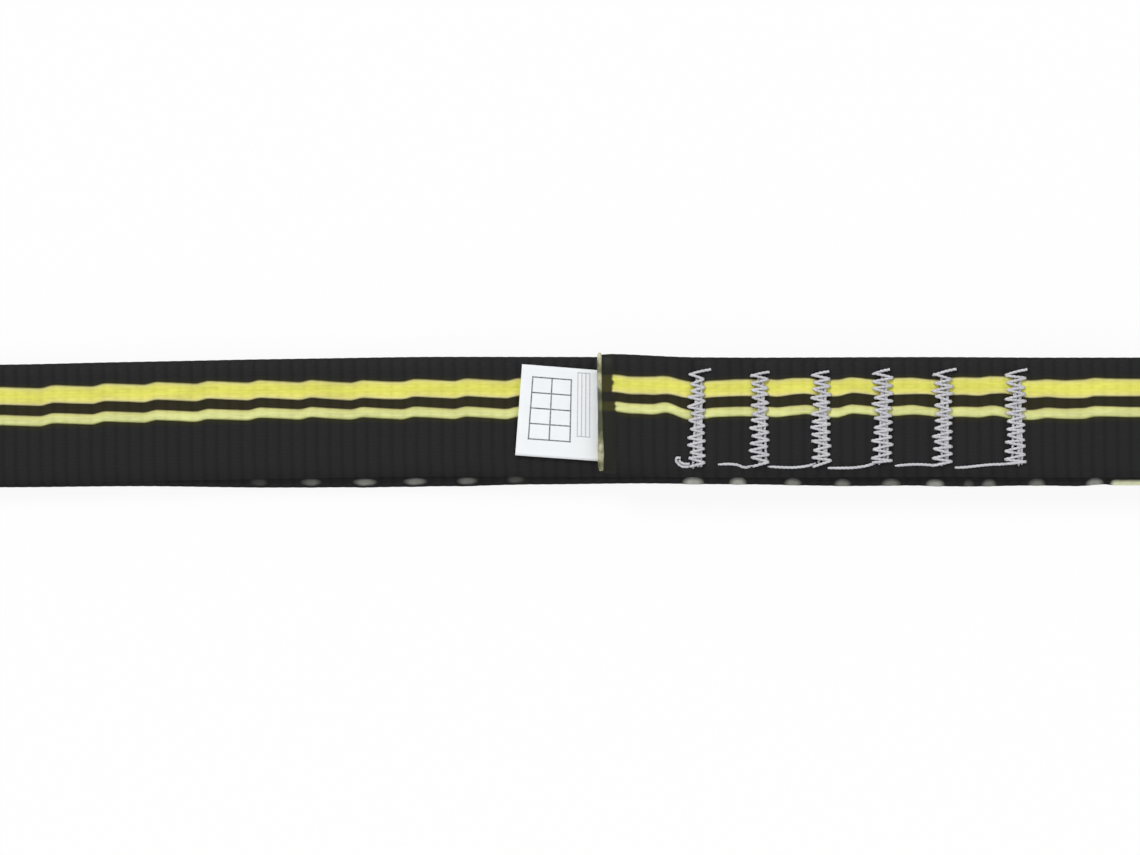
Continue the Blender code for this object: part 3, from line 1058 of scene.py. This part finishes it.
# The label: white tape folded in two at its free end, its ends caught under the first bartack
label = {
    "height": 15.2 * mm,
    "layer": 0.16 * mm,
    "gap": 0.08 * mm,
    "freeLength": 13.5 * mm,
    "lean": 4.3,  # degrees
    "centreY": 0.72 * mm,
    "hingeBeforeCut": 1.5 * mm,
    "flatBeforeCut": 2 * mm,  # from here on to its free end it curls
    "step": 0.4 * mm,
    "foldSteps": 8,
    "columns": 30,
    "curl": 0.16 * mm,
    "curlShape": (0.4, -0.25, 0.3),  # a curve across the label: its bend, tilt and height
    "wave": 0.03 * mm,
    "wavePace": 1.1,
    "white": "#f3f5f7",
    "shade": "#e9edf0",
    "ink": "#2b2e3a",
    "paleInk": "#a7a8b6",
    "inkSoft": 0.03,
}
# Printed on it, in mm from the fold and from the middle: a blank write-in table, and four rules
writeIn = {"start": 1.9, "low": -4.7, "width": 3.35, "height": 2.58, "columns": 2, "rows": 4, "line": 0.13}
rules = {"start": 9.75, "low": -3.7, "width": 0.68, "height": 10.6, "columns": 3, "rows": 1, "line": 0.09}


def printedMask(add, place, along, across, block):
    # 1 on the lines of a block of ruled cells
    width, height, line = block["width"], block["height"], block["line"]
    corner = (block["start"], block["low"], 0)
    spot = add("VectorMath", "SUBTRACT", place, corner)
    cells = {"Vector": spot, "Scale": 1.0, "Mortar Size": line, "Mortar Smooth": 0.3}
    cells |= {"Brick Width": width, "Row Height": height}
    mask = add("TexBrick", cells, offset=0.0).outputs["Fac"]
    limits = [
        (along, block["start"] - line, 1),
        (along, block["start"] + width * block["columns"] + line, -1),
        (across, block["low"] - line, 1),
        (across, block["low"] + height * block["rows"] + line, -1),
    ]
    for socket, edge, side in limits:
        soft = label["inkSoft"] * side
        inside = add("MapRange", socket, edge - soft, edge + soft)
        mask = add("Math", "MULTIPLY", mask, inside)
    return mask


def labelSatin():
    # woven polyester satin, pressed smooth: bright white, with print that sits in the weave
    material = bpy.data.materials.new("wovenLabelSatin")
    add = emptyTree(material)
    along = add("Attribute", attribute_name="labelAlong").outputs["Fac"]
    across = add("Attribute", attribute_name="labelAcross").outputs["Fac"]
    place = add("CombineXYZ", along, across)
    # clouds of about 3 mm, and ink worn thin in spots of 0.3 mm
    cloud = add("TexNoise", {"Vector": place, "Scale": 0.35, "Detail": 2.0})
    worn = add("TexNoise", {"Vector": place, "Scale": 3.0, "Detail": 3.0})
    fade = add("MapRange", worn, 0.25, 0.6, 0.6, 0.95)
    color = linearColor(label["shade"])
    for block, name in ((None, "white"), (writeIn, "ink"), (rules, "paleInk")):
        mask = cloud
        if block:
            mask = add("Math", "MULTIPLY", printedMask(add, place, along, across, block), fade)
        color = add("Mix", mask, {6: color, 7: linearColor(label[name])}, data_type="RGBA").outputs[2]
    # long satin floats along the tape, coarser than the real ones so that they still show
    floats = add("VectorMath", "MULTIPLY", place, (1.1, 7.0, 1.0))
    floats = add("TexNoise", {"Vector": floats, "Scale": 1.0, "Detail": 3.0})
    relief = add("Bump", {"Height": floats, "Strength": 0.4, "Distance": 0.04 * mm})
    finish = {"Base Color": color, "Roughness": 0.5, "Sheen Weight": 0.1, "Normal": relief}
    add("OutputMaterial", {"Surface": add("BsdfPrincipled", finish)})
    return material


def makeLabel(material):
    freeEnd = sling["cutEnd"] - label["freeLength"]
    tailEnd = bartackPlaces[0] + sling["labelTail"]
    slope = math.tan(math.radians(label["lean"]))
    apart = (label["layer"] + label["gap"]) / 2
    flat = spaced(freeEnd + apart, tailEnd, label["step"]) + [tailEnd]
    # centre line of one layer: the bottom one leftwards, round the fold, and back on top
    line = [(x, -apart) for x in reversed(flat)]
    for i in range(1, label["foldSteps"]):
        turn = math.pi * i / label["foldSteps"]
        line.append((freeEnd + apart - apart * math.sin(turn), -apart * math.cos(turn)))
    line += [(x, apart) for x in flat]
    vertices = []
    along = []
    across = []
    columns = label["columns"]
    bend, tilt, rise = label["curlShape"]
    for x, up in line:
        free = ease(x, sling["cutEnd"] - label["flatBeforeCut"], freeEnd)
        for j in range(columns + 1):
            share = -1 + 2 * j / columns
            v = share * label["height"] / 2
            lean = slope * v * ease(x, sling["cutEnd"], freeEnd)
            curl = label["curl"] * free * (bend * share * share + tilt * share + rise)
            wave = label["wave"] * math.sin(v / mm * label["wavePace"]) * free
            y = label["centreY"] + v - slope * (x - sling["cutEnd"])
            vertices.append((x + lean, y, labelZ + up + curl + wave))
            along.append(math.copysign(x - freeEnd, up) / mm)
            across.append(v / mm)
    faces = []
    for i in range(len(line) - 1):
        for j in range(columns):
            corner = i * (columns + 1) + j
            faces.append((corner, corner + 1, corner + columns + 2, corner + columns + 1))
    drawn = {"labelAlong": along, "labelAcross": across}
    helper = meshObject("labelSheet", vertices, (), faces, material, **drawn)
    wall = helper.modifiers.new("layer", "SOLIDIFY")
    wall.thickness = label["layer"]
    wall.offset = 0
    made = plainMesh(helper, "label")
    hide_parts("label_sewn_tail", "label_flap")
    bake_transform(made)
    length = 2 * (tailEnd - freeEnd)
    print(f"label: {length / mm:.0f} mm of tape folded in two")
    return made, length


bpy.context.scene.view_settings.view_transform = "Standard"
addCamera()
addLight()
addFloor()
print("camera, light and floor are set")

webbing, tapeLength = makeTape(wovenNylon())
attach(webbing, "sling")
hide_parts("webbing_loop")

threads = makeStitching(sewingThread())

melted = meltedNylon()
cutX = sling["cutEnd"] + bead["inside"]
cutBead = makeBead("sealedEnd", melted, cutX, sling["lapEndLane"], upperPlyHeight(cutX), bead["cut"])
hiddenX = hiddenEnd - bead["inside"]
hiddenZ = lowerPlyHeight(hiddenX)
hiddenBead = makeBead("hiddenSealedEnd", melted, hiddenX, sling["frontLane"], hiddenZ, bead["hidden"])
print("both sealed ends are made")

labelTape, labelLength = makeLabel(labelSatin())
